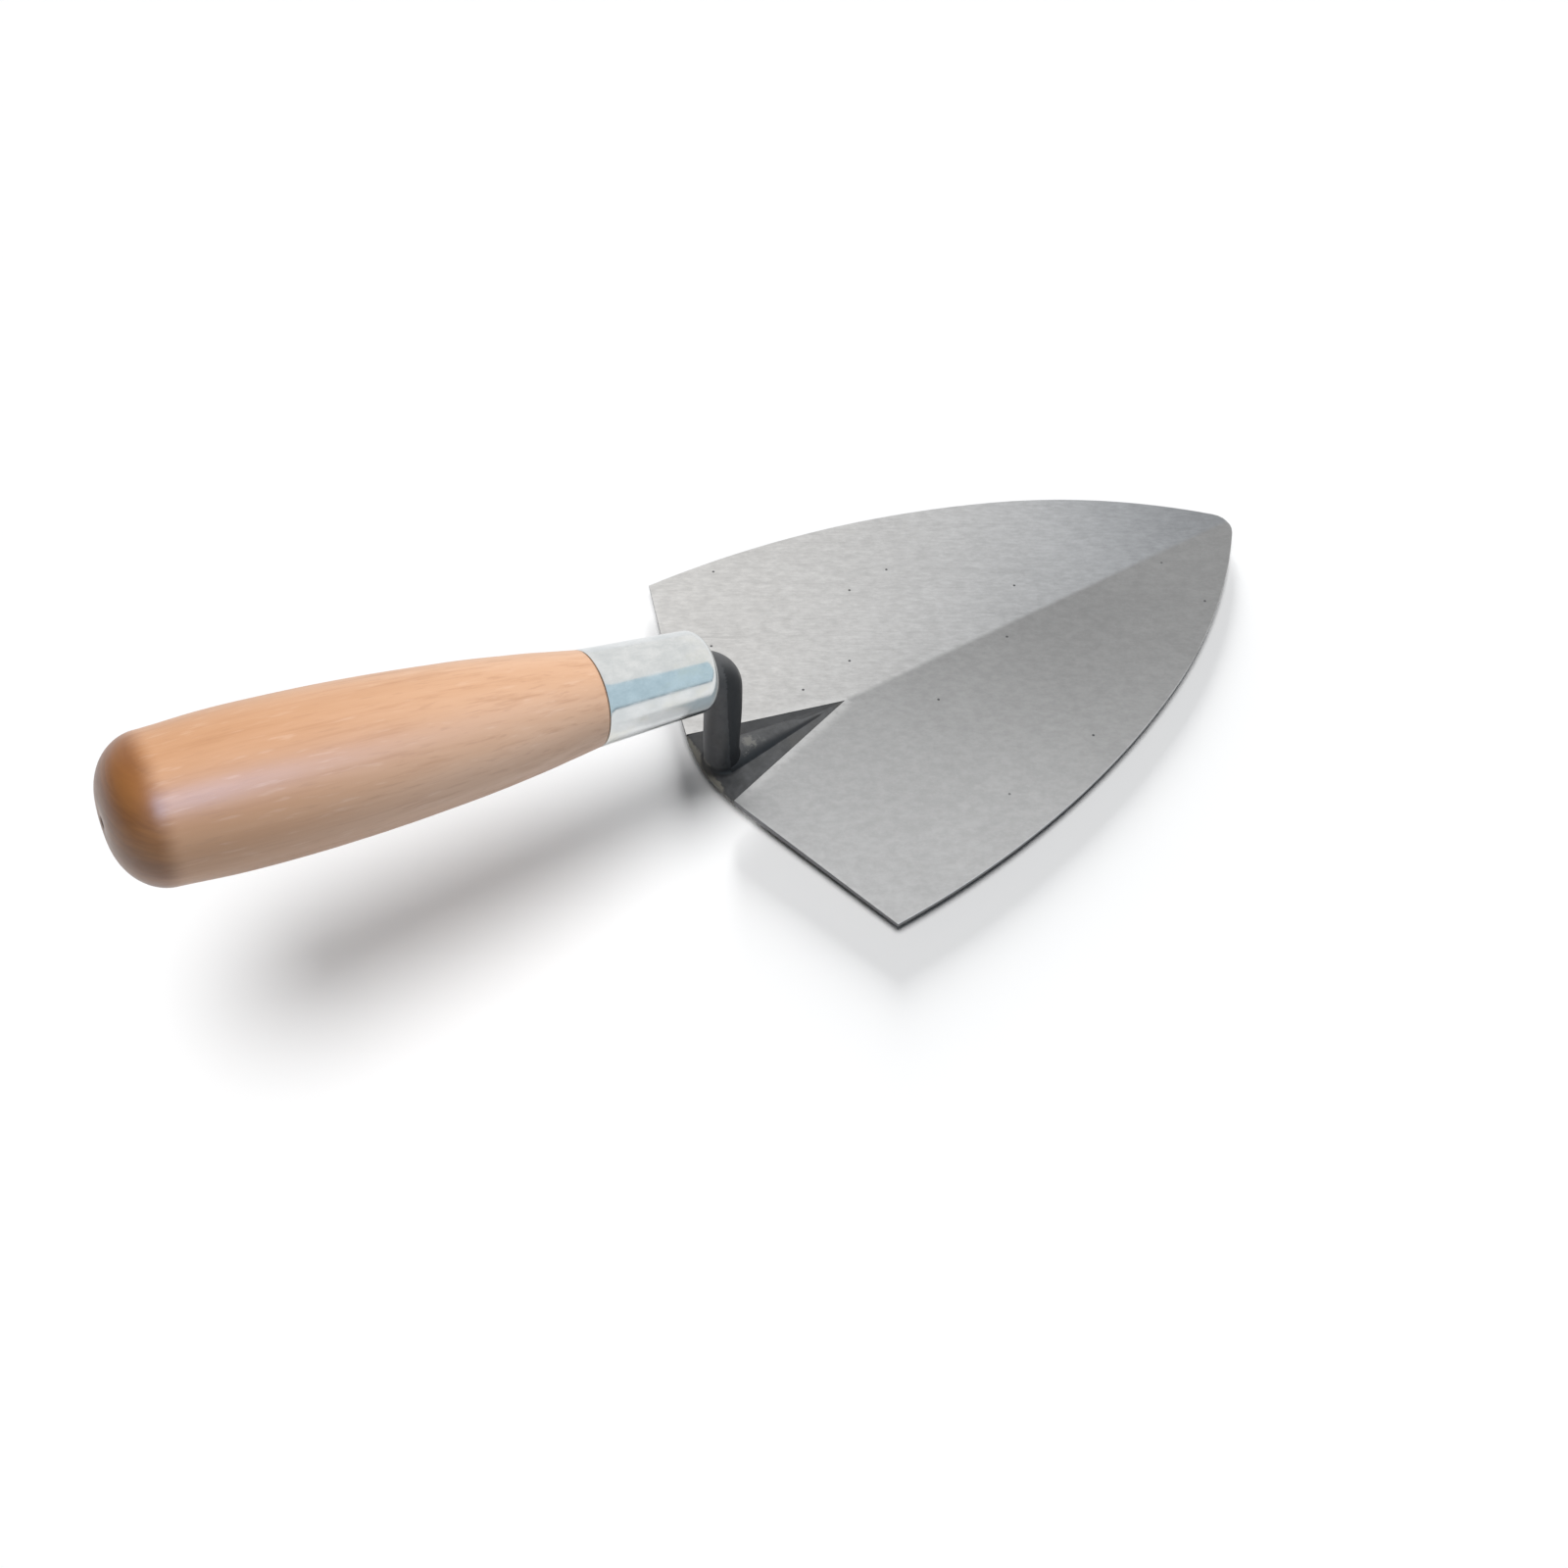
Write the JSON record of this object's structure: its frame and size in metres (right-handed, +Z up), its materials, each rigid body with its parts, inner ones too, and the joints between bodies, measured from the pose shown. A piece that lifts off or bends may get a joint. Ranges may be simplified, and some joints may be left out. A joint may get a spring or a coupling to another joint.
{
  "type": "brick trowel",
  "caption": "Masonry trowel with a short, wide, pointed steel blade, a cranked forged shank, a plated steel ferrule and a turned wood handle.",
  "frame": {"origin": "under the middle of the whole trowel, on the plane of the blade's underside", "axes": "+X from the handle towards the blade's tip, +Y to the left seen from the handle, +Z up from the blade's working face towards the handle"},
  "size_m": [0.347, 0.146, 0.0998],
  "materials": {
    "ground_steel": "bare steel with fine grinding marks and a few pits, bright along the edges",
    "forged_steel": "dark forging scale, satin, slightly uneven",
    "plated_steel": "bright zinc plating, faintly mottled",
    "varnished_wood": "pale close-grained hardwood under clear varnish, darker on the end grain of the butt"
  },
  "bodies": {
    "root": {"blade": "ground_steel", "shank": "forged_steel", "ferrule": "plated_steel", "handle": "varnished_wood"}
  },
  "joints": []
}
